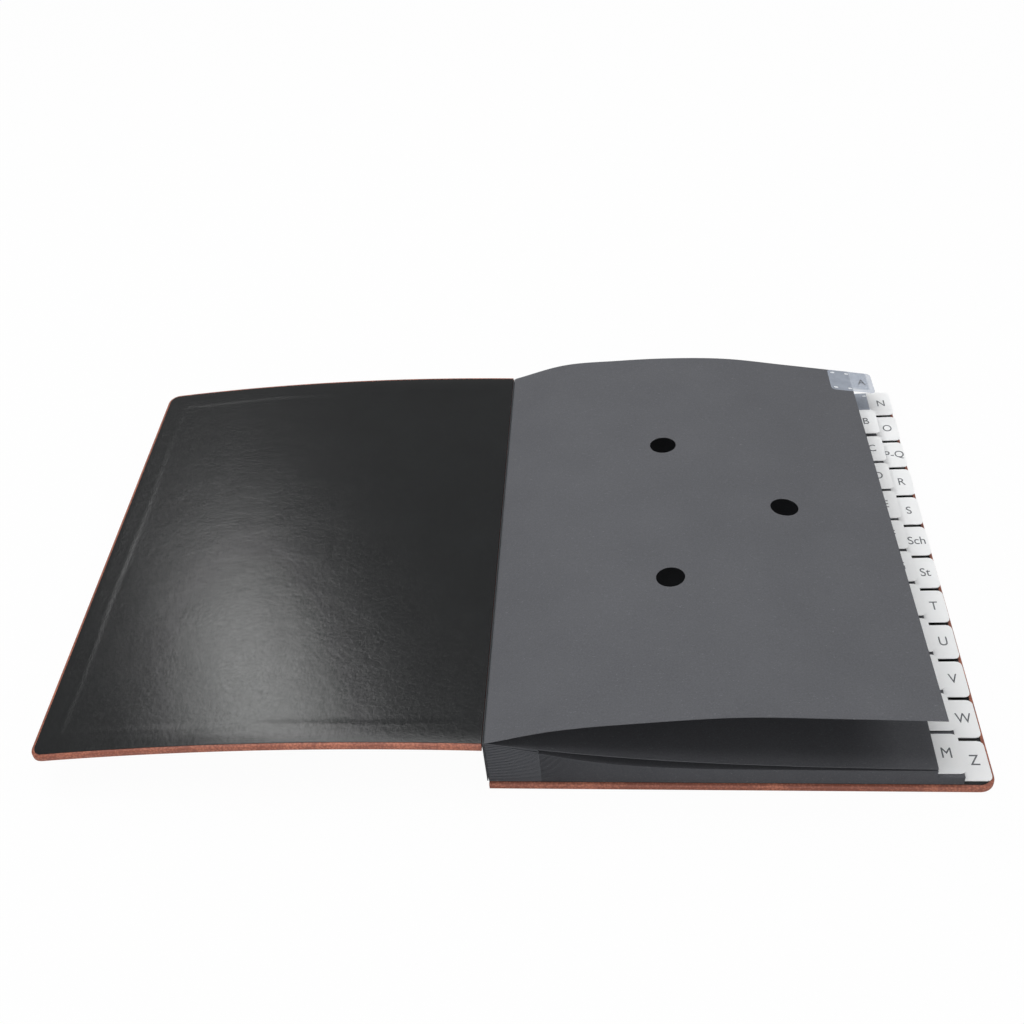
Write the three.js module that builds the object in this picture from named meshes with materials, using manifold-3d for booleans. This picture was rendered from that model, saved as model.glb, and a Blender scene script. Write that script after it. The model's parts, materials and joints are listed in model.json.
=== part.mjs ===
// Alphabetical desk sorter for A4 papers, lying open at its front cover.
//
// The register block lies on the back cover: 24 card dividers whose spine edges are seated in the
// valleys of one pleated gusset. The front cover is turned over to the left, inside up, with the
// bow and the slight twist of its board. The top divider has sprung up into an arch.
//
// Millimetres. X runs from the spine to the index tabs, Y along the spine, Z up. The origin is the
// middle of the back cover's underside.

import * as THREE from 'three';
import { mergeVertices } from 'three/addons/utils/BufferGeometryUtils.js';
import Module from 'manifold-3d';

// Covers
const coverLength = 340;
const coverWidth = 263.5;
const coverCorner = 8;
const leatherThickness = 0.75;
const boardThickness = 2.6;
const liningThickness = 0.3;
const glueGap = 0.05;
const turnInWidth = 16;
const liningInset = 2;
const backHingeEdge = 1.5;
const coverArcSteps = 4;

// Front cover as it lies: its height at the hinge, its fall to the outer edge, bow and twist
const frontHingeEdge = 0.2;
const frontHingeHeight = 37.3;
const frontFall = 7;
const frontBow = 5.2;
const frontTwist = 4.5;

// Register block
const blockBase = 4.6;
const dividerLength = 336;
const cardThickness = 0.3;
const spinePitch = 1.42;
const edgePitch = 0.5;
const dividerSpineEdge = 2;
const settleLength = 52;
const settlePower = 1.6;
const looseSettleLength = 95;
const looseSettlePower = 1.2;

// Index tabs: two columns, each divider's tab in the row of its letter
const firstColumnEdge = 235;
const tabReach = 14.8;
const columnOverlap = 1;
const tabGap = 2;
const tabThickness = 0.5;
const tabCorner = 3;
const tabLap = 14.5;
const filmThickness = 0.08;
const filmGap = 0.04;
const tabJoint = 0.04;

// Sight holes, one in the middle and two nearer the spine
const holeDiameter = 16.5;
const holeSpread = 63;
const nearHolesX = 104;
const midHoleX = 174;
const holeShift = 3;
const drillLength = 80;

// Pleated gusset at the spine
const pleatDepth = 28.2;
const pleatSpineX = 1.8;
const gussetLayer = 0.18;
const slotWidth = 0.54;
const flangeReach = 8;
const foldSteps = 3;

// Spine cloth
const spineClothX = 0.5;
const spineClothThickness = 0.5;
const spineClothGap = 0.4;
const spineClothTop = 36.9;

// Top divider's arch: points (x, z) of its near and far edges
const archNear = [[40, 47.6], [90, 54.4], [135, 58.2], [185, 57], [235, 55]];
const archFar = [[38, 46.9], [75, 48.6], [110, 48.7], [150, 46], [190, 38.6], [235, 29.8]];
const archSteps = 16;
const archRows = 4;

const firstColumn = ['a', 'b', 'c', 'd', 'e', 'f', 'g', 'h', 'i_j', 'k', 'l', 'm'];
const secondColumn = ['n', 'o', 'p_q', 'r', 's', 'sch', 'st', 't', 'u', 'v', 'w', 'z'];
const letters = [...firstColumn, ...secondColumn];
const rows = firstColumn.length;
const topLevel = letters.length - 1;

const coverThickness = 2 * leatherThickness + boardThickness + liningThickness + 4 * glueGap;
const secondColumnEdge = firstColumnEdge + tabReach - columnOverlap;
const tabPitch = dividerLength / rows;

const paints = {
    card: { color: 0x5b5b60, roughness: 0.85 },
    topCard: { color: 0x626267, roughness: 0.85 },
    tab: { color: 0xe2e5e7, roughness: 0.25 },
    leather: { color: 0x965c4c, roughness: 0.6 },
    lining: { color: 0x1d1f20, roughness: 0.3 },
    board: { color: 0x8d8576, roughness: 0.9 },
    cloth: { color: 0x34373b, roughness: 0.9 },
};

const wasm = await Module();
wasm.setup();

// Booleans on closed meshes

function toSolid(geometry) {
    const bare = geometry.index ? geometry.toNonIndexed() : geometry.clone();
    for (const name of Object.keys(bare.attributes)) {
        if (name !== 'position') bare.deleteAttribute(name);
    }
    const merged = mergeVertices(bare, 1e-5);
    const vertProperties = new Float32Array(merged.attributes.position.array);
    const triVerts = new Uint32Array(merged.index.array);
    return new wasm.Manifold(new wasm.Mesh({ numProp: 3, vertProperties, triVerts }));
}

function toGeometry(solid) {
    const mesh = solid.getMesh();
    const geometry = new THREE.BufferGeometry();
    geometry.setAttribute('position', new THREE.BufferAttribute(mesh.vertProperties, 3));
    geometry.setIndex(new THREE.BufferAttribute(mesh.triVerts, 1));
    geometry.computeVertexNormals();
    return geometry;
}

function cut(geometry, ...tools) {
    return toGeometry(tools.reduce((solid, tool) => solid.subtract(toSolid(tool)), toSolid(geometry)));
}

function join(...geometries) {
    return toGeometry(geometries.map(toSolid).reduce((whole, solid) => whole.add(solid)));
}

// A sheet lofted over stations. Each station has its distance x, its lengthwise ends y0 and y1 and
// its lower and upper face c0 and c1. place(x, y, c) puts a point of the flat sheet into space.
function loftSheet(stations, columns, place) {
    const points = [];
    const faces = [];
    const across = columns + 1;
    for (const { x, y0, y1, c0, c1 } of stations) {
        for (const c of [c0, c1]) {
            for (let j = 0; j < across; j++) {
                points.push(place(x, y0 + ((y1 - y0) * j) / columns, c));
            }
        }
    }
    const at = (station, side, j) => (2 * station + side) * across + j;
    const quad = (a, b, c, d) => faces.push(a, b, c, a, c, d);
    const last = stations.length - 1;
    for (let i = 0; i < last; i++) {
        for (let j = 0; j < columns; j++) {
            quad(at(i, 1, j), at(i + 1, 1, j), at(i + 1, 1, j + 1), at(i, 1, j + 1));
            quad(at(i, 0, j), at(i, 0, j + 1), at(i + 1, 0, j + 1), at(i + 1, 0, j));
        }
        quad(at(i, 0, 0), at(i + 1, 0, 0), at(i + 1, 1, 0), at(i, 1, 0));
        quad(at(i, 1, columns), at(i + 1, 1, columns), at(i + 1, 0, columns), at(i, 0, columns));
    }
    for (let j = 0; j < columns; j++) {
        quad(at(0, 0, j), at(0, 1, j), at(0, 1, j + 1), at(0, 0, j + 1));
        quad(at(last, 0, j), at(last, 0, j + 1), at(last, 1, j + 1), at(last, 1, j));
    }
    return closedGeometry(points, faces);
}

// Turns the faces round if the placing mirrored the sheet, so that they always point out.
function closedGeometry(points, faces) {
    let volume = 0;
    for (let i = 0; i < faces.length; i += 3) {
        const [a, b, c] = [points[faces[i]], points[faces[i + 1]], points[faces[i + 2]]];
        volume += a.dot(b.clone().cross(c));
    }
    const index = volume > 0 ? faces : faces.slice().reverse();
    const geometry = new THREE.BufferGeometry();
    geometry.setAttribute('position', new THREE.Float32BufferAttribute(points.flatMap((p) => p.toArray()), 3));
    geometry.setIndex(index);
    geometry.computeVertexNormals();
    return geometry;
}

// Stations of an oblong sheet from x0 to x1 with round corners at x1.
function roundedStations(x0, x1, y0, y1, radius, arcSteps, between, faces) {
    const stations = [{ x: x0, y0, y1, ...faces }];
    for (const x of between) {
        if (x > x0 && x < x1 - radius) stations.push({ x, y0, y1, ...faces });
    }
    for (let i = 0; i <= arcSteps; i++) {
        const angle = (Math.PI / 2) * (i / arcSteps);
        const inset = radius * (1 - Math.cos(angle));
        stations.push({ x: x1 - radius * (1 - Math.sin(angle)), y0: y0 + inset, y1: y1 - inset, ...faces });
    }
    return stations;
}

// Covers

const coverStations = [16, 50, 84, 118, 152, 186, 220, 247.5];

function backPlace(x, y, c) {
    return new THREE.Vector3(backHingeEdge + x, y, coverThickness + c);
}

function frontPlace(x, y, c) {
    const share = x / coverWidth;
    const bow = 4 * frontBow * share * (1 - share);
    const twist = (frontTwist * share * y) / (coverLength / 2);
    const height = frontHingeHeight - frontFall * share + bow + twist;
    return new THREE.Vector3(frontHingeEdge - x, y, height + c);
}

// A plate of a cover, kept an inset away from the hinge edge and from the three free edges.
function coverPlate(place, hingeInset, inset, c0, c1) {
    const half = coverLength / 2 - inset;
    const radius = Math.max(coverCorner - inset, 1);
    const x1 = coverWidth - inset;
    const faces = { c0, c1 };
    const stations = roundedStations(hingeInset, x1, -half, half, radius, coverArcSteps, coverStations, faces);
    return loftSheet(stations, 4, place);
}

// Layers of a cover, measured down from the lining's face over the turn-in
const turnInTop = -liningThickness - glueGap;
const boardTop = turnInTop - leatherThickness - glueGap;
const skinTop = boardTop - boardThickness - glueGap;
const windowTop = boardTop + glueGap + liningThickness;
const wallInset = leatherThickness + glueGap;

function boardGeometry(place) {
    return coverPlate(place, wallInset, wallInset, boardTop - boardThickness, boardTop);
}

// One skin: the outer face, the walls round the board and the turned-in margin on the inside.
function leatherGeometry(place) {
    const blank = coverPlate(place, 0, 0, -coverThickness, turnInTop);
    const boardSpace = coverPlate(place, leatherThickness, leatherThickness, skinTop, boardTop + glueGap);
    const window = coverPlate(place, turnInWidth, turnInWidth, boardTop - glueGap, 1);
    return cut(blank, boardSpace, window);
}

// The lining lies on the turned-in leather at its margin and steps down onto the board inside it.
function liningGeometry(place) {
    const margin = coverPlate(place, 1, liningInset, -liningThickness, 0);
    const bottom = boardTop + glueGap;
    const middle = coverPlate(place, turnInWidth + glueGap, turnInWidth + glueGap, bottom, -glueGap);
    const step = turnInWidth + liningThickness + glueGap;
    const hollow = coverPlate(place, step, step, windowTop, 1);
    return cut(join(margin, middle), hollow);
}

// Block: the leaves lie apart at the spine and close together at the tabs

function settle(x, level) {
    const tight = Math.exp(-((x / settleLength) ** settlePower));
    const loose = Math.exp(-((x / looseSettleLength) ** looseSettlePower));
    const share = THREE.MathUtils.clamp(level - (topLevel - 1.5), 0, 1);
    return tight + (loose - tight) * share;
}

// Height in the block at a level counted in leaves from the bottom
function blockHeight(x, level) {
    return blockBase + level * (edgePitch + (spinePitch - edgePitch) * settle(x, level));
}

const pleatEdgeX = pleatSpineX + pleatDepth;
const pleatRuns = [pleatSpineX, 12, 21, pleatEdgeX];
const bendStations = [...pleatRuns.slice(1), 40, 52, 64, 80, 100, 130, 170];

function cardEdge(index) {
    return index < rows ? firstColumnEdge : secondColumnEdge;
}

function cardStations(index) {
    const edge = cardEdge(index);
    const stations = [dividerSpineEdge, ...bendStations, edge - tabLap, edge];
    const half = dividerLength / 2;
    const faces = { y0: -half, y1: half, c0: -cardThickness / 2, c1: cardThickness / 2 };
    return stations.map((x) => ({ x, ...faces }));
}

function leafPlace(index) {
    const level = topLevel - index + 0.5;
    return (x, y, c) => new THREE.Vector3(x, y, blockHeight(x, level) + c);
}

function holeCutters(segments) {
    const spots = [[nearHolesX, -holeSpread], [midHoleX, 0], [nearHolesX, holeSpread]];
    return spots.map(([x, y]) => {
        const drill = new THREE.CylinderGeometry(holeDiameter / 2, holeDiameter / 2, drillLength, segments);
        drill.rotateX(Math.PI / 2);
        return drill.translate(x, y + holeShift, drillLength / 2);
    });
}

function dividerGeometry(index) {
    return cut(loftSheet(cardStations(index), 1, leafPlace(index)), ...holeCutters(12));
}

// Top divider: glued on the gusset's last flange, then a ruled arch between its near and far edge

const flangeTop = blockHeight(dividerSpineEdge, topLevel - 0.5 + (slotWidth + gussetLayer) / 2);
const archStart = flangeTop + glueGap + cardThickness / 2;

function archCurve(points) {
    const knots = [[dividerSpineEdge, archStart], ...points].map(([x, z]) => new THREE.Vector3(x, 0, z));
    return new THREE.CatmullRomCurve3(knots, false, 'centripetal').getSpacedPoints(200);
}

const nearArch = archCurve(archNear);
const farArch = archCurve(archFar);

function heightOn(curve, x) {
    const next = curve.findIndex((point) => point.x >= x);
    const i = next < 1 ? (next < 0 ? curve.length - 1 : 1) : next;
    const [a, b] = [curve[i - 1], curve[i]];
    return a.z + ((b.z - a.z) * (x - a.x)) / (b.x - a.x);
}

function archPlace(x, y, c) {
    const share = y / dividerLength + 0.5;
    const height = heightOn(nearArch, x) * (1 - share) + heightOn(farArch, x) * share;
    return new THREE.Vector3(x, y, height + c);
}

function topDividerGeometry() {
    const half = dividerLength / 2;
    const faces = { y0: -half, y1: half, c0: -cardThickness / 2, c1: cardThickness / 2 };
    const lapStart = firstColumnEdge - tabLap;
    const stations = [];
    for (let i = 0; i <= archSteps; i++) {
        stations.push({ x: dividerSpineEdge + ((lapStart - dividerSpineEdge) * i) / archSteps, ...faces });
    }
    stations.push({ x: firstColumnEdge, ...faces });
    return cut(loftSheet(stations, archRows, archPlace), ...holeCutters(24));
}

// Index tab: a clear film laps over the card's edge and holds the label beyond it

function tabGeometry(index, place) {
    const edge = cardEdge(index);
    const row = rows - 1 - (index % rows);
    const y1 = (row + 1) * tabPitch - dividerLength / 2;
    const y0 = y1 - tabPitch + tabGap;
    const film = { c0: cardThickness / 2 + filmGap, c1: cardThickness / 2 + filmGap + filmThickness };
    const label = { c0: -cardThickness / 2, c1: -cardThickness / 2 + tabThickness };
    const lap = [
        { x: edge - tabLap, y0, y1, ...film },
        { x: edge + tabJoint, y0, y1, ...film },
    ];
    const outer = roundedStations(edge + 1.5 * tabJoint, edge + tabReach, y0, y1, tabCorner, 3, [], label);
    return loftSheet([...lap, ...outer], 1, place);
}

// Pleated gusset: one strip that runs out and back once for each divider

function gussetGeometry() {
    const half = gussetLayer / 2;
    const slot = slotWidth / 2;
    const strip = [];
    const add = (x, level, across, along) => strip.push({ x, level, across, along });
    const fold = (x, level, radius, way) => {
        for (let i = 1; i < foldSteps; i++) {
            const angle = (Math.PI * i) / foldSteps;
            const run = way * spinePitch * Math.sin(angle);
            add(x + radius * run, level - radius * Math.cos(angle), -Math.cos(angle) * way, run * way);
        }
    };
    for (let k = 0; k < topLevel; k++) {
        const last = k === topLevel - 1;
        for (const x of pleatRuns.slice().reverse()) add(x, k + 0.5 - slot, 1, 0);
        fold(pleatSpineX, k + 0.5, slot, -1);
        for (const x of last ? [pleatSpineX, flangeReach] : pleatRuns) add(x, k + 0.5 + slot, -1, 0);
        if (!last) fold(pleatEdgeX, k + 1, 0.5 - slot, 1);
    }
    const place = (i, y, side) => {
        const { x, level, across, along } = strip[i];
        const px = x + side * half * along;
        return new THREE.Vector3(px, y, blockHeight(px, level + side * half * across));
    };
    const faces = { y0: -dividerLength / 2, y1: dividerLength / 2, c0: -1, c1: 1 };
    return loftSheet(strip.map((point, x) => ({ x, ...faces })), 1, place);
}

// Spine cloth: the strip of book cloth over the block's back, with its edges turned in a little

function spineClothGeometry() {
    const half = dividerLength / 2;
    const bottom = blockBase + spineClothGap;
    const faces = { y0: -half, y1: half, c0: 0, c1: spineClothThickness };
    const heights = [bottom, bottom + 4, spineClothTop - 4, spineClothTop];
    const place = (x, y, c) => new THREE.Vector3(spineClothX + c, y, x);
    return loftSheet(heights.map((x) => ({ x, ...faces })), 1, place);
}

// Assembly

const sorter = new THREE.Group();
sorter.position.x = -(backHingeEdge + coverWidth) / 2;

function addPiece(name, geometry, paint) {
    const mesh = new THREE.Mesh(geometry, new THREE.MeshStandardMaterial({ metalness: 0, ...paint }));
    mesh.name = name;
    sorter.add(mesh);
}

for (const [side, place] of [['front', frontPlace], ['back', backPlace]]) {
    addPiece(`${side}_board`, boardGeometry(place), paints.board);
    addPiece(`${side}_leather`, leatherGeometry(place), paints.leather);
    addPiece(`${side}_lining`, liningGeometry(place), paints.lining);
}

addPiece('spine_cloth', spineClothGeometry(), paints.cloth);
addPiece('expanding_gusset', gussetGeometry(), paints.cloth);

letters.forEach((letter, index) => {
    const top = index === 0;
    const card = top ? topDividerGeometry() : dividerGeometry(index);
    addPiece(`divider_${letter}`, card, top ? paints.topCard : paints.card);
    addPiece(`tab_${letter}`, tabGeometry(index, top ? archPlace : leafPlace(index)), paints.tab);
});

export default sorter;
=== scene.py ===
import bpy
import bmesh
import json
import math
from mathutils import Matrix, Vector


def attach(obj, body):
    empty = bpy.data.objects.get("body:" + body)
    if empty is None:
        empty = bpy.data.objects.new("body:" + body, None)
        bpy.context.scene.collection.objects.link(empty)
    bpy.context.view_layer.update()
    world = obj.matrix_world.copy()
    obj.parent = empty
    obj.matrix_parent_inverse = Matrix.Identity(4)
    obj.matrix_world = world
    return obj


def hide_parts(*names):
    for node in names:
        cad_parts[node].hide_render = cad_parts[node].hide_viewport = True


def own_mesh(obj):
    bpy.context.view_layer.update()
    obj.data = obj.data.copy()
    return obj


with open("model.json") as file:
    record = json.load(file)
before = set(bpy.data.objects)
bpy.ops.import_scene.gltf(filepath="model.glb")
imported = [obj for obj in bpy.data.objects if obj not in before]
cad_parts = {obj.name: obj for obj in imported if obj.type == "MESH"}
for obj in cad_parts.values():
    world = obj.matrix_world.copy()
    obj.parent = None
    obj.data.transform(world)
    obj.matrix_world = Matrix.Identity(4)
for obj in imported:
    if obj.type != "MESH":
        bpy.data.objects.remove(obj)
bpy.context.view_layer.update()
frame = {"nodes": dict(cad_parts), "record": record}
nodes = frame["nodes"]
millimetre = 0.001
print("frame loaded:", len(nodes), "nodes")

# Camera: the photograph's viewpoint, in mm from the middle of the back cover's underside
cameraView = {
    "position": (-47.6, -602.6, 578.2),
    "turn": 12.92,          # degrees to the left of the spine's direction
    "lookDown": 40.13,
    "roll": -10.09,
    "focalPixels": 1284.0,  # pixels of the photograph, like the next two
    "shiftPixels": 99.9,
    "widthPixels": 1024,
    "sensorWidth": 36,
    "clipStart": 0.01,      # in metres
}


def makeCamera(view):
    turn, down, roll = (math.radians(view[name]) for name in ("turn", "lookDown", "roll"))
    around = Matrix.Rotation(turn, 3, "Z")
    forward = around @ Vector((0, math.cos(down), -math.sin(down)))
    right = around @ Vector((1, 0, 0))
    up = around @ Vector((0, math.sin(down), math.cos(down)))
    rolledRight = math.cos(roll) * right + math.sin(roll) * up
    rolledUp = math.cos(roll) * up - math.sin(roll) * right
    data = bpy.data.cameras.new("photo_view")
    data.sensor_width = view["sensorWidth"]
    data.lens = view["focalPixels"] / view["widthPixels"] * view["sensorWidth"]
    data.shift_x = view["shiftPixels"] / view["widthPixels"]
    data.clip_start = view["clipStart"]
    camera = bpy.data.objects.new("photo_view", data)
    bpy.context.scene.collection.objects.link(camera)
    turned = Matrix((rolledRight, rolledUp, -forward)).transposed()
    camera.matrix_world = Matrix.Translation(Vector(view["position"]) * millimetre) @ turned.to_4x4()
    bpy.context.scene.camera = camera


makeCamera(cameraView)

# Sizes shared by the pieces, all in mm, x measured from the spine
spineX = -132.5
cover = {"length": 340, "width": 263.5, "corner": 8, "thickness": 4.6, "lining": 0.3, "gap": 0.05,
         "turnIn": 16, "backHingeEdge": 1.5}
frontLie = {"hingeEdge": 0.2, "height": 37.3, "fall": 7, "bow": 5.2, "twist": 4.5}
block = {"base": 4.6, "length": 336, "spinePitch": 1.42, "edgePitch": 0.5, "spineEdge": 2,
         "settle": 52, "settlePower": 1.6, "looseSettle": 95, "loosePower": 1.2, "topLevel": 23,
         "looseLevels": 1.5, "slot": 0.54, "layer": 0.18, "glue": 0.05, "card": 0.3}
tab = {"firstEdge": 235, "secondEdge": 248.8, "reach": 14.8, "pitch": 28, "gap": 2, "corner": 3, "lap": 14.5,
       "top": 0.35, "filmBottom": 0.19, "filmTop": 0.27, "rows": 12}
holes = {"diameter": 16.5, "spots": [(104, -60), (174, 3), (104, 66)]}


# Where a point of each sheet lies: x from its hinge, y along the spine and c above its upper side
def frontPlace(x, y, c):
    share = x / cover["width"]
    bow = 4 * frontLie["bow"] * share * (1 - share)
    twist = frontLie["twist"] * share * y / (cover["length"] / 2)
    height = frontLie["height"] - frontLie["fall"] * share + bow + twist
    return Vector((frontLie["hingeEdge"] - x, y, height + c))


def backPlace(x, y, c):
    return Vector((cover["backHingeEdge"] + x, y, cover["thickness"] + c))


# Height of a level of the block: its leaves settle towards the tabs, the uppermost more loosely
def blockHeight(x, level):
    tight = math.exp(-((x / block["settle"]) ** block["settlePower"]))
    loose = math.exp(-((x / block["looseSettle"]) ** block["loosePower"]))
    share = min(max(level - (block["topLevel"] - block["looseLevels"]), 0), 1)
    spread = tight + (loose - tight) * share
    return block["base"] + level * (block["edgePitch"] + (block["spinePitch"] - block["edgePitch"]) * spread)


def leafPlace(index):
    level = block["topLevel"] - index + 0.5
    return lambda x, y, c: Vector((x, y, blockHeight(x, level) + c))


# Arch of the sprung top divider: points (x, z) of its near and far edges
archNear = [(40, 47.6), (90, 54.4), (135, 58.2), (185, 57), (235, 55)]
archFar = [(38, 46.9), (75, 48.6), (110, 48.7), (150, 46), (190, 38.6), (235, 29.8)]
flangeLevel = block["topLevel"] - 0.5 + (block["slot"] + block["layer"]) / 2
archStart = blockHeight(block["spineEdge"], flangeLevel) + block["glue"] + block["card"] / 2


# Centripetal spline through points (x, z)
def splineThrough(points, steps=60):
    knots = [Vector(point) for point in points]
    knots = [2 * knots[0] - knots[1]] + knots + [2 * knots[-1] - knots[-2]]
    curve = []
    for i in range(1, len(knots) - 2):
        p0, p1, p2, p3 = knots[i - 1:i + 3]
        t1 = math.sqrt((p1 - p0).length)
        t2 = t1 + math.sqrt((p2 - p1).length)
        t3 = t2 + math.sqrt((p3 - p2).length)
        for step in range(steps):
            t = t1 + (t2 - t1) * step / steps
            a1 = p0.lerp(p1, t / t1)
            a2 = p1.lerp(p2, (t - t1) / (t2 - t1))
            a3 = p2.lerp(p3, (t - t2) / (t3 - t2))
            b1 = a1.lerp(a2, t / t2)
            b2 = a2.lerp(a3, (t - t1) / (t3 - t1))
            curve.append(b1.lerp(b2, (t - t1) / (t2 - t1)))
    curve.append(knots[-2])
    return curve


nearCurve = splineThrough([(block["spineEdge"], archStart)] + archNear)
farCurve = splineThrough([(block["spineEdge"], archStart)] + archFar)


def heightOn(curve, x):
    low, high = 0, len(curve) - 1
    while high - low > 1:
        middle = (low + high) // 2
        low, high = (middle, high) if curve[middle].x <= x else (low, middle)
    a, b = curve[low], curve[high]
    return a.y + (b.y - a.y) * (x - a.x) / (b.x - a.x)


def archPlace(x, y, c):
    share = y / block["length"] + 0.5
    height = heightOn(nearCurve, x) * (1 - share) + heightOn(farCurve, x) * share
    return Vector((x, y, height + c))


# Materials

def linearColor(hexText):
    parts = [int(hexText[i:i + 2], 16) / 255 for i in (1, 3, 5)]
    return (*[v / 12.92 if v <= 0.04045 else ((v + 0.055) / 1.055) ** 2.4 for v in parts], 1)


def addNode(owner, kind, settings=None, inputs=None):
    node = owner.node_tree.nodes.new(kind)
    for name, value in (settings or {}).items():
        setattr(node, name, value)
    for name, value in (inputs or {}).items():
        if isinstance(value, bpy.types.NodeSocket):
            owner.node_tree.links.new(value, node.inputs[name])
        else:
            node.inputs[name].default_value = value
    return node


def newMaterial(name):
    material = bpy.data.materials.new(name)
    material.use_nodes = True
    material.node_tree.nodes.clear()
    return material


def perMillimetre(size):
    return 1 / (size * millimetre)


# Bonded leather pressed with a pebble grain: a satin skin whose highlight breaks up over the pebbles, with
# painted shade darkening the valleys between them
leatherLook = {"dark": "#8c5140", "light": "#bb745b", "pebble": 1.3, "mottle": 22, "pores": 0.5,
               "roughness": (0.42, 0.6)}


def bondedLeather(look):
    m = newMaterial("pebbled_bonded_leather")
    place = addNode(m, "ShaderNodeTexCoord").outputs["Object"]
    mottle = addNode(m, "ShaderNodeTexNoise", {}, {
        "Vector": place, "Scale": perMillimetre(look["mottle"]), "Detail": 6, "Roughness": 0.6})
    pebbles = addNode(m, "ShaderNodeTexVoronoi", {"feature": "SMOOTH_F1"}, {
        "Vector": place, "Scale": perMillimetre(look["pebble"]), "Smoothness": 0.5})
    fine = addNode(m, "ShaderNodeTexNoise", {}, {
        "Vector": place, "Scale": perMillimetre(look["pores"]), "Detail": 2})
    # painted shade: the colour is made darker in the valleys between the pebbles
    paintedValleyShade = addNode(m, "ShaderNodeMapRange", {}, {
        "Value": pebbles.outputs["Distance"], "From Min": 0.25, "From Max": 0.7, "To Min": 0,
        "To Max": 0.35})
    amount = addNode(m, "ShaderNodeMath", {"operation": "SUBTRACT", "use_clamp": True}, {
        0: mottle.outputs["Fac"], 1: paintedValleyShade.outputs["Result"]})
    spread = addNode(m, "ShaderNodeMapRange", {}, {
        "Value": amount.outputs["Value"], "From Min": 0.2, "From Max": 0.62})
    color = addNode(m, "ShaderNodeMix", {"data_type": "RGBA"}, {
        0: spread.outputs["Result"], 6: linearColor(look["dark"]), 7: linearColor(look["light"])})
    rough = addNode(m, "ShaderNodeMapRange", {}, {
        "Value": mottle.outputs["Fac"], "To Min": look["roughness"][0], "To Max": look["roughness"][1]})
    grain = addNode(m, "ShaderNodeBump", {"invert": True}, {
        "Height": pebbles.outputs["Distance"], "Strength": 0.45, "Distance": 0.15 * millimetre})
    bump = addNode(m, "ShaderNodeBump", {}, {
        "Height": fine.outputs["Fac"], "Strength": 0.2, "Distance": 0.05 * millimetre,
        "Normal": grain.outputs["Normal"]})
    shader = addNode(m, "ShaderNodeBsdfPrincipled", {}, {
        "Base Color": color.outputs[2], "Roughness": rough.outputs["Result"],
        "Normal": bump.outputs["Normal"], "IOR": 1.48})
    addNode(m, "ShaderNodeOutputMaterial", {}, {"Surface": shader.outputs["BSDF"]})
    return m


# Lining paper, coated and embossed: near black, glossy, with fine crinkles that tear its highlight
liningLook = {"dark": "#0f1011", "light": "#191b1c", "crinkle": 2.4, "wave": 26, "dimple": 1.6,
              "roughness": (0.2, 0.27)}


def coatedLining(look):
    m = newMaterial("embossed_coated_lining_paper")
    place = addNode(m, "ShaderNodeTexCoord").outputs["Object"]
    waves = addNode(m, "ShaderNodeTexNoise", {}, {
        "Vector": place, "Scale": perMillimetre(look["wave"]), "Detail": 3})
    crinkle = addNode(m, "ShaderNodeTexNoise", {}, {
        "Vector": place, "Scale": perMillimetre(look["crinkle"]), "Detail": 6, "Roughness": 0.62,
        "Distortion": 0.6})
    fine = addNode(m, "ShaderNodeTexVoronoi", {"feature": "DISTANCE_TO_EDGE"}, {
        "Vector": place, "Scale": perMillimetre(look["dimple"])})
    color = addNode(m, "ShaderNodeMix", {"data_type": "RGBA"}, {
        0: waves.outputs["Fac"], 6: linearColor(look["dark"]), 7: linearColor(look["light"])})
    rough = addNode(m, "ShaderNodeMapRange", {}, {
        "Value": crinkle.outputs["Fac"], "From Min": 0.3, "From Max": 0.7, "To Min": look["roughness"][0],
        "To Max": look["roughness"][1]})
    wide = addNode(m, "ShaderNodeBump", {}, {
        "Height": waves.outputs["Fac"], "Strength": 0.5, "Distance": 0.5 * millimetre})
    creases = addNode(m, "ShaderNodeBump", {}, {
        "Height": crinkle.outputs["Fac"], "Strength": 0.8, "Distance": 0.13 * millimetre,
        "Normal": wide.outputs["Normal"]})
    bump = addNode(m, "ShaderNodeBump", {}, {
        "Height": fine.outputs["Distance"], "Strength": 0.12, "Distance": 0.05 * millimetre,
        "Normal": creases.outputs["Normal"]})
    shader = addNode(m, "ShaderNodeBsdfPrincipled", {}, {
        "Base Color": color.outputs[2], "Roughness": rough.outputs["Result"],
        "Normal": bump.outputs["Normal"], "IOR": 1.5})
    addNode(m, "ShaderNodeOutputMaterial", {}, {"Surface": shader.outputs["BSDF"]})
    return m


# Card dyed in the pulp and calendered: matt grey with short light and dark fibres
cardLook = {"dark": "#57585c", "light": "#636468", "fleck": "#8a8b90", "felt": 0.9, "fibre": 1.8,
            "cloud": 40}


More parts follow.
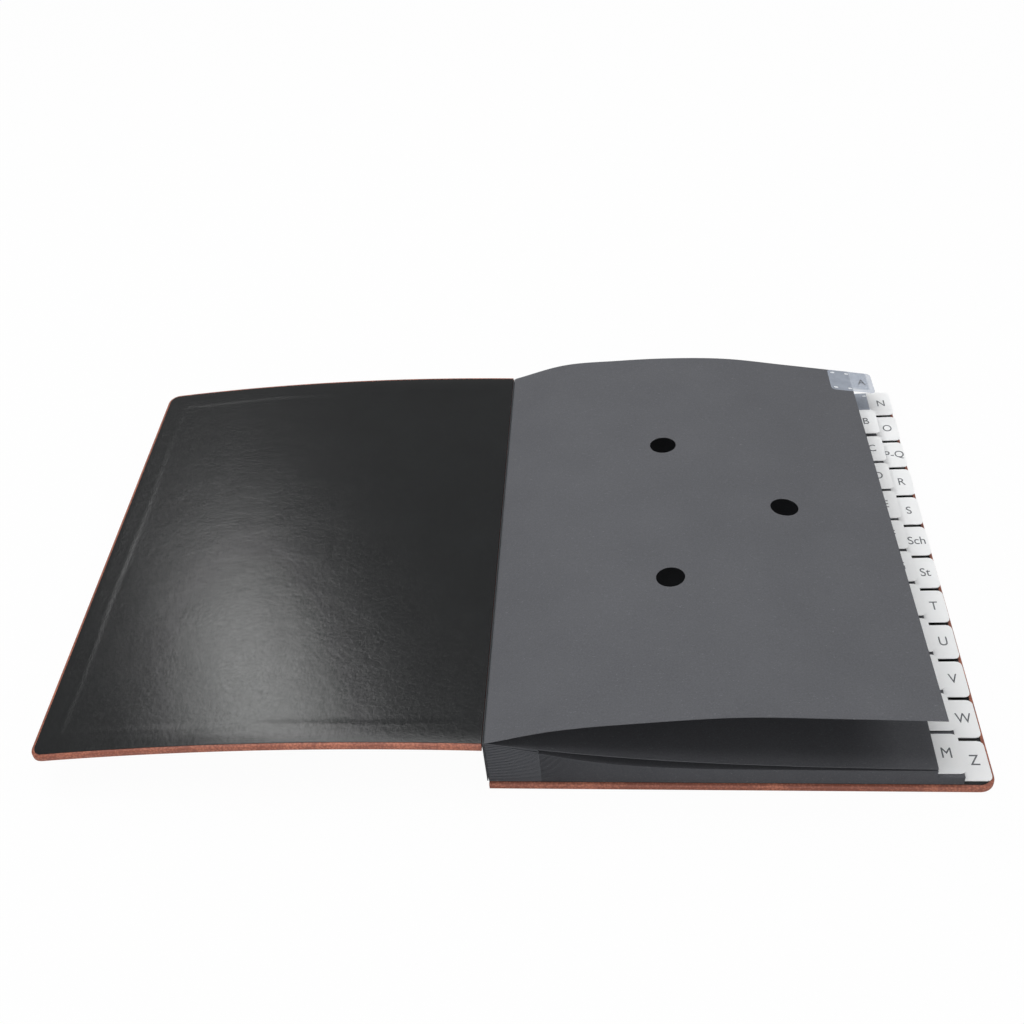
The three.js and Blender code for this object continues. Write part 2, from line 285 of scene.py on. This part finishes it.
def dyedCard(look):
    m = newMaterial("dyed_fibre_card")
    place = addNode(m, "ShaderNodeTexCoord").outputs["Object"]
    cloud = addNode(m, "ShaderNodeTexNoise", {}, {
        "Vector": place, "Scale": perMillimetre(look["cloud"]), "Detail": 4})
    felt = addNode(m, "ShaderNodeTexNoise", {}, {
        "Vector": place, "Scale": perMillimetre(look["felt"]), "Detail": 4, "Roughness": 0.7})
    along = addNode(m, "ShaderNodeMapping", {}, {
        "Vector": place, "Rotation": (0, 0, 0.5), "Scale": (1, 3, 1)})
    fibres = addNode(m, "ShaderNodeTexNoise", {}, {
        "Vector": along.outputs["Vector"], "Scale": perMillimetre(look["fibre"]), "Detail": 2,
        "Distortion": 1.5})
    mixed = addNode(m, "ShaderNodeMix", {"data_type": "FLOAT"}, {
        0: 0.75, 2: cloud.outputs["Fac"], 3: felt.outputs["Fac"]})
    spread = addNode(m, "ShaderNodeMapRange", {}, {
        "Value": mixed.outputs[0], "From Min": 0.35, "From Max": 0.65})
    base = addNode(m, "ShaderNodeMix", {"data_type": "RGBA"}, {
        0: spread.outputs["Result"], 6: linearColor(look["dark"]), 7: linearColor(look["light"])})
    speck = addNode(m, "ShaderNodeMapRange", {}, {
        "Value": fibres.outputs["Fac"], "From Min": 0.66, "From Max": 0.73, "To Min": 0, "To Max": 0.5})
    color = addNode(m, "ShaderNodeMix", {"data_type": "RGBA"}, {
        0: speck.outputs["Result"], 6: base.outputs[2], 7: linearColor(look["fleck"])})
    bump = addNode(m, "ShaderNodeBump", {}, {
        "Height": felt.outputs["Fac"], "Strength": 0.25, "Distance": 0.06 * millimetre})
    shader = addNode(m, "ShaderNodeBsdfPrincipled", {}, {
        "Base Color": color.outputs[2], "Roughness": 0.82, "Normal": bump.outputs["Normal"], "IOR": 1.45,
        "Specular IOR Level": 0.3})
    addNode(m, "ShaderNodeOutputMaterial", {}, {"Surface": shader.outputs["BSDF"]})
    return m


# Book cloth, a plain weave filled with size: near black with a faint thread pattern
clothLook = {"dark": "#232527", "light": "#33363a", "thread": 0.7, "bandUnits": 6.28}


def bookCloth(look):
    m = newMaterial("woven_book_cloth")
    place = addNode(m, "ShaderNodeTexCoord").outputs["Object"]
    rows = addNode(m, "ShaderNodeTexWave", {"bands_direction": "Y"}, {
        "Vector": place, "Scale": perMillimetre(look["thread"]) / look["bandUnits"], "Distortion": 0.6,
        "Detail": 1})
    picks = addNode(m, "ShaderNodeTexWave", {"bands_direction": "Z"}, {
        "Vector": place, "Scale": perMillimetre(look["thread"]) / look["bandUnits"], "Distortion": 0.6,
        "Detail": 1})
    weave = addNode(m, "ShaderNodeMath", {"operation": "MAXIMUM"}, {
        0: rows.outputs["Fac"], 1: picks.outputs["Fac"]})
    color = addNode(m, "ShaderNodeMix", {"data_type": "RGBA"}, {
        0: weave.outputs["Value"], 6: linearColor(look["dark"]), 7: linearColor(look["light"])})
    bump = addNode(m, "ShaderNodeBump", {}, {
        "Height": weave.outputs["Value"], "Strength": 0.5, "Distance": 0.12 * millimetre})
    shader = addNode(m, "ShaderNodeBsdfPrincipled", {}, {
        "Base Color": color.outputs[2], "Roughness": 0.8, "Normal": bump.outputs["Normal"],
        "Sheen Weight": 0.15})
    addNode(m, "ShaderNodeOutputMaterial", {}, {"Surface": shader.outputs["BSDF"]})
    return m


# Gusset paper, a tough dyed kraft folded by machine: dark grey, dull, lighter and darker in a fine random
# mottle
gussetLook = {"dark": "#44464a", "light": "#5c5e63", "fibre": 1.5}


def gussetPaper(look):
    m = newMaterial("folded_gusset_paper")
    place = addNode(m, "ShaderNodeTexCoord").outputs["Object"]
    felt = addNode(m, "ShaderNodeTexNoise", {}, {
        "Vector": place, "Scale": perMillimetre(look["fibre"]), "Detail": 5, "Roughness": 0.65})
    color = addNode(m, "ShaderNodeMix", {"data_type": "RGBA"}, {
        0: felt.outputs["Fac"], 6: linearColor(look["dark"]), 7: linearColor(look["light"])})
    bump = addNode(m, "ShaderNodeBump", {}, {
        "Height": felt.outputs["Fac"], "Strength": 0.3, "Distance": 0.06 * millimetre})
    shader = addNode(m, "ShaderNodeBsdfPrincipled", {}, {
        "Base Color": color.outputs[2], "Roughness": 0.75, "Normal": bump.outputs["Normal"]})
    addNode(m, "ShaderNodeOutputMaterial", {}, {"Surface": shader.outputs["BSDF"]})
    return m


# Bookbinder's greyboard, pressed waste pulp: dull grey-brown, coarse, full of specks
boardLook = {"dark": "#7c7568", "light": "#9a9285", "pulp": 1.2}


def greyBoard(look):
    m = newMaterial("pressed_greyboard")
    place = addNode(m, "ShaderNodeTexCoord").outputs["Object"]
    pulp = addNode(m, "ShaderNodeTexNoise", {}, {
        "Vector": place, "Scale": perMillimetre(look["pulp"]), "Detail": 6, "Roughness": 0.75})
    color = addNode(m, "ShaderNodeMix", {"data_type": "RGBA"}, {
        0: pulp.outputs["Fac"], 6: linearColor(look["dark"]), 7: linearColor(look["light"])})
    bump = addNode(m, "ShaderNodeBump", {}, {
        "Height": pulp.outputs["Fac"], "Strength": 0.4, "Distance": 0.1 * millimetre})
    shader = addNode(m, "ShaderNodeBsdfPrincipled", {}, {
        "Base Color": color.outputs[2], "Roughness": 0.9, "Normal": bump.outputs["Normal"]})
    addNode(m, "ShaderNodeOutputMaterial", {}, {"Surface": shader.outputs["BSDF"]})
    return m


# Paper label under clear film: cool white, smooth, with the film's clear gloss on top
labelLook = {"dark": "#f8fafb", "light": "#fefefe", "cloud": 9}


def filmedLabel(look):
    m = newMaterial("paper_label_under_film")
    place = addNode(m, "ShaderNodeTexCoord").outputs["Object"]
    cloud = addNode(m, "ShaderNodeTexNoise", {}, {
        "Vector": place, "Scale": perMillimetre(look["cloud"]), "Detail": 3})
    color = addNode(m, "ShaderNodeMix", {"data_type": "RGBA"}, {
        0: cloud.outputs["Fac"], 6: linearColor(look["dark"]), 7: linearColor(look["light"])})
    bump = addNode(m, "ShaderNodeBump", {}, {
        "Height": cloud.outputs["Fac"], "Strength": 0.2, "Distance": 0.2 * millimetre})
    shader = addNode(m, "ShaderNodeBsdfPrincipled", {}, {
        "Base Color": color.outputs[2], "Roughness": 0.35, "Normal": bump.outputs["Normal"],
        "Coat Weight": 0.25, "Coat Roughness": 0.15})
    addNode(m, "ShaderNodeOutputMaterial", {}, {"Surface": shader.outputs["BSDF"]})
    return m


# Clear PVC film, welded: a bluish grey veil over the card with a soft gloss
filmLook = {"color": "#c3cbd8", "veil": (0.4, 0.52), "cloud": 7}


def clearFilm(look):
    m = newMaterial("clear_pvc_film")
    place = addNode(m, "ShaderNodeTexCoord").outputs["Object"]
    cloud = addNode(m, "ShaderNodeTexNoise", {}, {
        "Vector": place, "Scale": perMillimetre(look["cloud"]), "Detail": 3})
    veil = addNode(m, "ShaderNodeMapRange", {}, {
        "Value": cloud.outputs["Fac"], "From Min": 0.3, "From Max": 0.7, "To Min": look["veil"][0],
        "To Max": look["veil"][1]})
    shader = addNode(m, "ShaderNodeBsdfPrincipled", {}, {
        "Base Color": linearColor(look["color"]), "Roughness": 0.2, "Alpha": veil.outputs["Result"],
        "IOR": 1.53})
    addNode(m, "ShaderNodeOutputMaterial", {}, {"Surface": shader.outputs["BSDF"]})
    return m


# Weld points, where the die has pressed the film together: frosted white
weldLook = {"dark": "#dfe4ea", "light": "#f4f6f8", "frost": 0.6}


def weldedFilm(look):
    m = newMaterial("welded_film_points")
    place = addNode(m, "ShaderNodeTexCoord").outputs["Object"]
    frost = addNode(m, "ShaderNodeTexNoise", {}, {
        "Vector": place, "Scale": perMillimetre(look["frost"]), "Detail": 2})
    color = addNode(m, "ShaderNodeMix", {"data_type": "RGBA"}, {
        0: frost.outputs["Fac"], 6: linearColor(look["dark"]), 7: linearColor(look["light"])})
    shader = addNode(m, "ShaderNodeBsdfPrincipled", {}, {
        "Base Color": color.outputs[2], "Roughness": 0.3})
    addNode(m, "ShaderNodeOutputMaterial", {}, {"Surface": shader.outputs["BSDF"]})
    return m


# Printing ink, offset on the label: flat mid grey, a little uneven
inkLook = {"dark": "#54575b", "light": "#6a6d71", "spread": 1.0}


def printedInk(look):
    m = newMaterial("offset_printing_ink")
    place = addNode(m, "ShaderNodeTexCoord").outputs["Object"]
    patch = addNode(m, "ShaderNodeTexNoise", {}, {
        "Vector": place, "Scale": perMillimetre(look["spread"]), "Detail": 2})
    color = addNode(m, "ShaderNodeMix", {"data_type": "RGBA"}, {
        0: patch.outputs["Fac"], 6: linearColor(look["dark"]), 7: linearColor(look["light"])})
    shader = addNode(m, "ShaderNodeBsdfPrincipled", {}, {
        "Base Color": color.outputs[2], "Roughness": 0.5})
    addNode(m, "ShaderNodeOutputMaterial", {}, {"Surface": shader.outputs["BSDF"]})
    return m


finishes = {
    "leather": bondedLeather(leatherLook),
    "lining": coatedLining(liningLook),
    "card": dyedCard(cardLook),
    "cloth": bookCloth(clothLook),
    "gusset": gussetPaper(gussetLook),
    "board": greyBoard(boardLook),
    "tab_film": filmedLabel(labelLook),
    "film": clearFilm(filmLook),
    "weld": weldedFilm(weldLook),
    "ink": printedInk(inkLook),
}
print("materials made:", len(finishes))

# CAD nodes that stay get their finish from their material slot
for subpart in frame["record"]["subparts"]:
    node = nodes[subpart["node"]]
    node.data.materials.clear()
    node.data.materials.append(finishes[subpart["material_slot"]])
print("finishes put on the CAD nodes")


# Sheets: a flat plate of mm size is cut into strips and then laid in place
meshing = {
    "cornerSteps": 8, "rimSteps": 4, "atStart": 0.01, "cutMerge": 1e-4, "mergeMetres": 1e-7,
    "sharpAngle": 40}


# Flat plate within bounds (x0, x1, y0, y1, c0, c1): its corners are rounded at x1 or at both ends, and its
# rims everywhere but at x0, the side of the hinge
def plate(bounds, corner=0, edge=0, bothEnds=False, xCuts=(), yCuts=()):
    x0, x1, y0, y1, c0, c1 = bounds
    bm = bmesh.new()
    bmesh.ops.create_cube(bm, size=1)
    size = Vector((x1 - x0, y1 - y0, c1 - c0))
    middle = Vector((x0 + x1, y0 + y1, c0 + c1)) / 2
    bmesh.ops.scale(bm, vec=size, verts=bm.verts)
    bmesh.ops.translate(bm, vec=middle, verts=bm.verts)
    if corner:
        upright = [e for e in bm.edges if abs(e.verts[0].co.z - e.verts[1].co.z) > size.z / 2
                   and (bothEnds or e.verts[0].co.x > middle.x)]
        bmesh.ops.bevel(bm, geom=upright, offset=corner, offset_type="OFFSET", affect="EDGES",
                        segments=meshing["cornerSteps"], profile=0.5, material=-1)
    if edge:
        rims = [e for e in bm.edges if abs(e.verts[0].co.z - e.verts[1].co.z) < size.z / 2
                and max(e.verts[0].co.x, e.verts[1].co.x) > x0 + meshing["atStart"]]
        bmesh.ops.bevel(bm, geom=rims, offset=edge, offset_type="OFFSET", affect="EDGES",
                        segments=meshing["rimSteps"], profile=0.5, material=-1)
    for cuts, normal in ((xCuts, Vector((1, 0, 0))), (yCuts, Vector((0, 1, 0)))):
        for cut in cuts:
            bmesh.ops.bisect_plane(bm, geom=bm.verts[:] + bm.edges[:] + bm.faces[:], plane_no=normal,
                                   dist=meshing["cutMerge"], plane_co=normal * cut)
    return bm


def steps(start, end, count):
    return [start + (end - start) * i / count for i in range(1, count)]


# Puts each point of a flat sheet where place says, in metres from the frame's origin
def layDown(bm, place):
    for vert in bm.verts:
        vert.co = (place(*vert.co) + Vector((spineX, 0, 0))) * millimetre


def makePiece(name, bm, finish, body, replaced=()):
    bmesh.ops.remove_doubles(bm, verts=bm.verts, dist=meshing["mergeMetres"])
    bmesh.ops.recalc_face_normals(bm, faces=bm.faces)
    for face in bm.faces:
        face.smooth = True
    for edge in bm.edges:
        if len(edge.link_faces) == 2 and edge.calc_face_angle(0) > math.radians(meshing["sharpAngle"]):
            edge.smooth = False
    mesh = bpy.data.meshes.new(name)
    bm.to_mesh(mesh)
    bm.free()
    piece = bpy.data.objects.new(name, mesh)
    mesh.materials.append(finishes[finish])
    bpy.context.scene.collection.objects.link(piece)
    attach(piece, body)
    if replaced:
        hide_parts(*replaced)
    return piece


# Covers: a leather skin with soft edges, and a lining whose surface dips past the turned-in leather
coverShape = {"edge": 1.1, "border": 2.0, "upperSide": -1, "xSteps": 44, "ySteps": 24,
              "rimCuts": (-5, -3.6, -2.4, -1.4, -0.6, 0.2, 1, 1.8, 2.8, 4)}
liningShape = {"edge": 0.12, "seat": 0.01, "dip": 0.14, "dipFrom": -1.6, "dipTo": 3.4, "ridge": 0.045,
               "ridgeWidth": 2.2, "ridgeOut": 0.8, "fadeFrom": 4, "fadeTo": 28, "waver": 0.7,
               "waverLengths": (23, 17)}


def smoothStep(low, high, value):
    t = min(max((value - low) / (high - low), 0), 1)
    return t * t * (3 - 2 * t)


# Height of the lining over the flat: a ridge along the turned-in leather's edge, then down past it
def liningDip(x, y):
    yWaver, xWaver = liningShape["waverLengths"]
    waver = liningShape["waver"] * (math.sin(y / yWaver) + math.sin(x / xWaver + 1))
    inside = min(cover["width"] - x, cover["length"] / 2 - abs(y)) - cover["turnIn"] - waver
    fade = smoothStep(liningShape["fadeFrom"], liningShape["fadeTo"], x)
    fromRidge = (inside + liningShape["ridgeOut"]) / liningShape["ridgeWidth"]
    ridge = liningShape["ridge"] * math.exp(-fromRidge ** 2)
    dip = liningShape["dip"] * smoothStep(liningShape["dipFrom"], liningShape["dipTo"], inside)
    return fade * (ridge - dip) - liningShape["ridge"] * fade


def coverCuts():
    width, half = cover["width"], cover["length"] / 2
    rim = [cover["turnIn"] + offset for offset in coverShape["rimCuts"]]
    xCuts = sorted(steps(0, width, coverShape["xSteps"]) + [width - r for r in rim])
    near, far = [r - half for r in rim], [half - r for r in rim]
    yCuts = sorted(steps(-half, half, coverShape["ySteps"]) + near + far)
    return xCuts, yCuts


for side, place in (("front", frontPlace), ("back", backPlace)):
    half = cover["length"] / 2
    top = -cover["lining"] - cover["gap"]
    xCuts, yCuts = coverCuts()
    skin = plate((0, cover["width"], -half, half, -cover["thickness"], top), corner=cover["corner"],
                 edge=coverShape["edge"], xCuts=xCuts, yCuts=yCuts)
    layDown(skin, lambda x, y, c: place(x, y, c + (liningDip(x, y) if c > coverShape["upperSide"] else 0)))
    makePiece(side + "_leather_skin", skin, "leather", side + "_cover", [side + "_leather"])
    inset = coverShape["border"]
    lining = plate((0, cover["width"] - inset, inset - half, half - inset, top + liningShape["seat"], 0),
                   corner=cover["corner"] - inset, edge=liningShape["edge"], xCuts=xCuts, yCuts=yCuts)
    layDown(lining, lambda x, y, c: place(x, y, c + liningDip(x, y)))
    makePiece(side + "_lining_paper", lining, "lining", side + "_cover", [side + "_lining"])
print("covers made")

# Top divider: card that arches up from the gusset, with its three sight holes
topDivider = {
    "xSteps": 60, "ySteps": 14, "holeSides": 48, "drillDepth": 10, "slope": 5.4, "pressed": 0.02}


# The sprung card and what is on it flatten onto the block as the front cover closes; here each such piece
# only gets its own copy of its mesh and is not moved
def pressDown(piece):
    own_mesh(piece)


# Cuts the sight holes out of a flat sheet, with the boolean modifier's exact solver
def cutHoles(bm):
    sheetMesh = bpy.data.meshes.new("sheet")
    bm.to_mesh(sheetMesh)
    bm.free()
    sheet = bpy.data.objects.new("sheet", sheetMesh)
    drills = bmesh.new()
    for x, y in holes["spots"]:
        radius = holes["diameter"] / 2
        drill = bmesh.ops.create_cone(drills, cap_ends=True, segments=topDivider["holeSides"],
                                      depth=topDivider["drillDepth"], radius1=radius, radius2=radius)
        bmesh.ops.translate(drills, vec=(x, y, 0), verts=drill["verts"])
    drillMesh = bpy.data.meshes.new("drills")
    drills.to_mesh(drillMesh)
    drills.free()
    drillObject = bpy.data.objects.new("drills", drillMesh)
    for each in (sheet, drillObject):
        bpy.context.scene.collection.objects.link(each)
    modifier = sheet.modifiers.new("holes", "BOOLEAN")
    modifier.operation = "DIFFERENCE"
    modifier.solver = "EXACT"
    modifier.object = drillObject
    shown = sheet.evaluated_get(bpy.context.evaluated_depsgraph_get())
    result = bmesh.new()
    result.from_mesh(shown.to_mesh())
    for each in (sheet, drillObject):
        bpy.data.objects.remove(each)
    return result


half = block["length"] / 2
card = plate((block["spineEdge"], tab["firstEdge"], -half, half, -block["card"] / 2, block["card"] / 2),
             xCuts=steps(block["spineEdge"], tab["firstEdge"], topDivider["xSteps"]),
             yCuts=steps(-half, half, topDivider["ySteps"]))
card = cutHoles(card)
layDown(card, archPlace)
pressDown(makePiece("top_divider_card", card, "card", "register_block", ["divider_a"]))
print("top divider made")


# Tabs: the top one has its label inside a wider clear film; the film of the second column laps on its card
topTab = {"labelStart": 0.2, "labelReach": 11.6, "labelNear": 4.2, "labelFar": 0.5, "labelCorner": 1,
          "labelEdge": 0.03, "labelDrop": 0.02, "labelSteps": 4, "filmSteps": 10}
weld = {"radius": 1.25, "taper": 0.8, "oval": (1.15, 0.75, 1), "inset": 3.4, "height": 0.03, "rise": 0.02,
        "sides": 16}
filmLap = {"rise": 0.1, "end": 0.1, "steps": 3}


def rowRange(index):
    top = (tab["rows"] - index % tab["rows"]) * tab["pitch"] - block["length"] / 2
    return top - tab["pitch"] + tab["gap"], top


def weldPoints(name, edge, y0, y1, place):
    bm = bmesh.new()
    inset = weld["inset"]
    for x in (edge - tab["lap"] + inset, edge - inset / 2):
        for y in (y0 + inset, y1 - inset):
            point = bmesh.ops.create_cone(bm, cap_ends=True, segments=weld["sides"], depth=weld["height"],
                                          radius1=weld["radius"], radius2=weld["radius"] * weld["taper"])
            bmesh.ops.scale(bm, vec=weld["oval"], verts=point["verts"])
            bmesh.ops.translate(bm, vec=(x, y, tab["filmTop"] + weld["rise"]), verts=point["verts"])
    layDown(bm, place)
    return makePiece(name, bm, "weld", "register_block")


y0, y1 = rowRange(0)
edge = tab["firstEdge"]
film = plate((edge - tab["lap"], edge + tab["reach"], y0, y1, tab["filmBottom"], tab["filmTop"]),
             corner=tab["corner"], bothEnds=True,
             xCuts=steps(edge - tab["lap"], edge + tab["reach"], topTab["filmSteps"]))
layDown(film, archPlace)
pressDown(makePiece("top_tab_film", film, "film", "register_block", ["tab_a"]))
label = plate((edge + topTab["labelStart"], edge + topTab["labelReach"], y0 + topTab["labelNear"],
               y1 - topTab["labelFar"], -block["card"] / 2, tab["filmBottom"] - topTab["labelDrop"]),
              corner=topTab["labelCorner"], edge=topTab["labelEdge"],
              xCuts=steps(edge, edge + topTab["labelReach"], topTab["labelSteps"]))
layDown(label, archPlace)
pressDown(makePiece("top_tab_label", label, "tab_film", "register_block"))
pressDown(weldPoints("top_tab_welds", edge, y0, y1, archPlace))

edge = tab["secondEdge"]
secondTop = tab["rows"]
y0, y1 = rowRange(secondTop)
lap = plate((edge - tab["lap"], edge - filmLap["end"], y0, y1, tab["filmBottom"] + filmLap["rise"],
             tab["filmTop"] + filmLap["rise"]), xCuts=steps(edge - tab["lap"], edge, filmLap["steps"]))
lapPlace = leafPlace(secondTop)
layDown(lap, lapPlace)
makePiece("second_column_film_lap", lap, "film", "register_block")
weldPoints("second_column_welds", edge, y0, y1, lambda x, y, c: lapPlace(x, y, c + filmLap["rise"]))

# Index letters, upright for a reader at the near side
letterStyle = {"size": 9.8, "narrow": 0.8, "thickness": 0.01, "firstMiddle": 242.2, "secondMiddle": 256.9,
               "rise": 0.03}
letterNames = ["A", "B", "C", "D", "E", "F", "G", "H", "I-J", "K", "L", "M",
               "N", "O", "P-Q", "R", "S", "Sch", "St", "T", "U", "V", "W", "Z"]


def letterMesh(text):
    curve = bpy.data.curves.new("letter", "FONT")
    curve.body = text
    curve.size = letterStyle["size"]
    curve.align_x = "CENTER"
    curve.align_y = "CENTER"
    curve.extrude = letterStyle["thickness"]
    holder = bpy.data.objects.new("letter", curve)
    bpy.context.scene.collection.objects.link(holder)
    mesh = bpy.data.meshes.new_from_object(holder.evaluated_get(bpy.context.evaluated_depsgraph_get()))
    bpy.data.objects.remove(holder)
    return mesh


for index, text in enumerate(letterNames):
    bm = bmesh.new()
    bm.from_mesh(letterMesh(text))
    y0, y1 = rowRange(index)
    middle = letterStyle["firstMiddle"] if index < tab["rows"] else letterStyle["secondMiddle"]
    bmesh.ops.scale(bm, vec=(letterStyle["narrow"], 1, 1), verts=bm.verts)
    surface = tab["filmTop"] if index == 0 else tab["top"]
    bmesh.ops.translate(bm, vec=(middle, (y0 + y1) / 2, surface + letterStyle["rise"]), verts=bm.verts)
    layDown(bm, archPlace if index == 0 else leafPlace(index))
    piece = makePiece("letter_" + text.lower().replace("-", "_"), bm, "ink", "register_block")
    if index == 0:
        pressDown(piece)
print("tabs and letters made")


# Floor, world and lamps: plain, pale and soft; the camera sees the floor almost white
stage = {"floorSize": 6, "floorDrop": 0.0003, "floorColor": "#e4e4e5", "floorRoughness": 0.9,
         "worldStrength": 0.28, "white": 0.97, "lampAim": (-0.1, 0, 0)}

floorMesh = bpy.data.meshes.new("floor")
bm = bmesh.new()
bmesh.ops.create_grid(bm, x_segments=1, y_segments=1, size=stage["floorSize"] / 2)
bmesh.ops.translate(bm, vec=(0, 0, -stage["floorDrop"]), verts=bm.verts)
bm.to_mesh(floorMesh)
bm.free()
floor = bpy.data.objects.new("floor", floorMesh)
bpy.context.scene.collection.objects.link(floor)
pale = newMaterial("pale_floor")
matt = addNode(pale, "ShaderNodeBsdfPrincipled", {}, {
    "Base Color": linearColor(stage["floorColor"]), "Roughness": stage["floorRoughness"]})
white = addNode(pale, "ShaderNodeEmission", {}, {"Color": (1, 1, 1, 1), "Strength": 1.0})
cameraRay = addNode(pale, "ShaderNodeLightPath").outputs["Is Camera Ray"]
amount = addNode(pale, "ShaderNodeMath", {"operation": "MULTIPLY"}, {0: cameraRay, 1: stage["white"]})
both = addNode(pale, "ShaderNodeMixShader", {}, {
    0: amount.outputs["Value"], 1: matt.outputs["BSDF"], 2: white.outputs["Emission"]})
addNode(pale, "ShaderNodeOutputMaterial", {}, {"Surface": both.outputs["Shader"]})
floorMesh.materials.append(pale)

world = bpy.data.worlds.new("studio")
bpy.context.scene.world = world
world.use_nodes = True
world.node_tree.nodes.clear()
seen = addNode(world, "ShaderNodeLightPath").outputs["Is Camera Ray"]
level = addNode(world, "ShaderNodeMix", {"data_type": "FLOAT"}, {
    0: seen, 2: stage["worldStrength"], 3: 1})
background = addNode(world, "ShaderNodeBackground", {}, {
    "Color": (1, 1, 1, 1), "Strength": level.outputs[0]})
addNode(world, "ShaderNodeOutputWorld", {}, {"Surface": background.outputs["Background"]})

lamps = {
    "key": {"at": (-0.5, 0.1, 2.0), "size": (1.6, 1.6), "power": 24},
    "sheen": {"at": (-0.78, 0.78, 1.15), "size": (0.26, 0.5), "power": 2.7},
    "fill": {"at": (0.1, -2.3, 0.45), "size": (1.6, 0.6), "power": 16},
    "side": {"at": (1.2, 0.2, 1.5), "size": (0.8, 0.8), "power": 6},
}
for name, lamp in lamps.items():
    data = bpy.data.lights.new(name, "AREA")
    data.shape = "RECTANGLE"
    data.size, data.size_y = lamp["size"]
    data.energy = lamp["power"]
    light = bpy.data.objects.new(name, data)
    bpy.context.scene.collection.objects.link(light)
    light.location = lamp["at"]
    light.rotation_euler = (Vector(stage["lampAim"]) - Vector(lamp["at"])).to_track_quat("-Z", "Y").to_euler()
bpy.context.scene.view_settings.view_transform = "Standard"
print("stage made")
